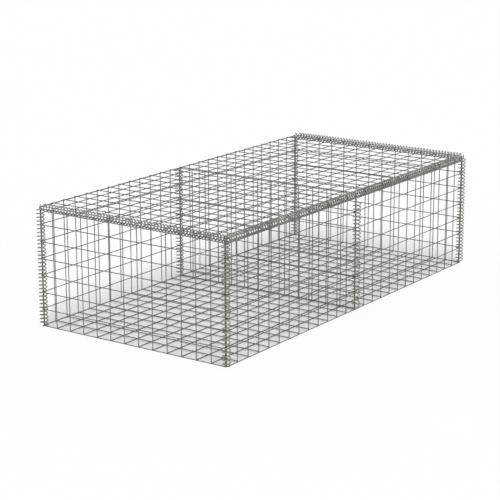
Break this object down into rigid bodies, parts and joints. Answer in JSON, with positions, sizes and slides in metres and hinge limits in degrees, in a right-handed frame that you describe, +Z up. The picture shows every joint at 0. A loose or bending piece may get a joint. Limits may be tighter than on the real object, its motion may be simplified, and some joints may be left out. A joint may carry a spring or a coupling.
{
  "type": "empty gabion basket",
  "caption": "Empty gabion basket of square welded wire mesh, with a partition between its bays and a lid, bound at its edges with spiral wires.",
  "frame": {"origin": "on the ground, under the middle of the basket", "axes": "+X along the length, from the left end to the right end; -Y towards the front, the long side whose lid edge is bound; +Z up"},
  "size_m": [2.0214, 1.0428, 0.5585],
  "materials": {
    "mesh_wire": "dull hot-dip galvanised",
    "binder_wire": "dull hot-dip galvanised"
  },
  "bodies": {
    "root": {"base_panel": "mesh_wire", "lid_panel": "mesh_wire", "front_panel": "mesh_wire", "back_panel": "mesh_wire", "left_end_panel": "mesh_wire", "right_end_panel": "mesh_wire", "partition_panel": "mesh_wire", "front_left_corner_binder": "binder_wire", "front_right_corner_binder": "binder_wire", "back_right_corner_binder": "binder_wire", "back_left_corner_binder": "binder_wire", "front_partition_binder": "binder_wire", "back_partition_binder": "binder_wire", "left_lid_binder": "binder_wire", "right_lid_binder": "binder_wire", "front_left_lid_binder": "binder_wire", "front_right_lid_binder": "binder_wire"}
  },
  "joints": []
}
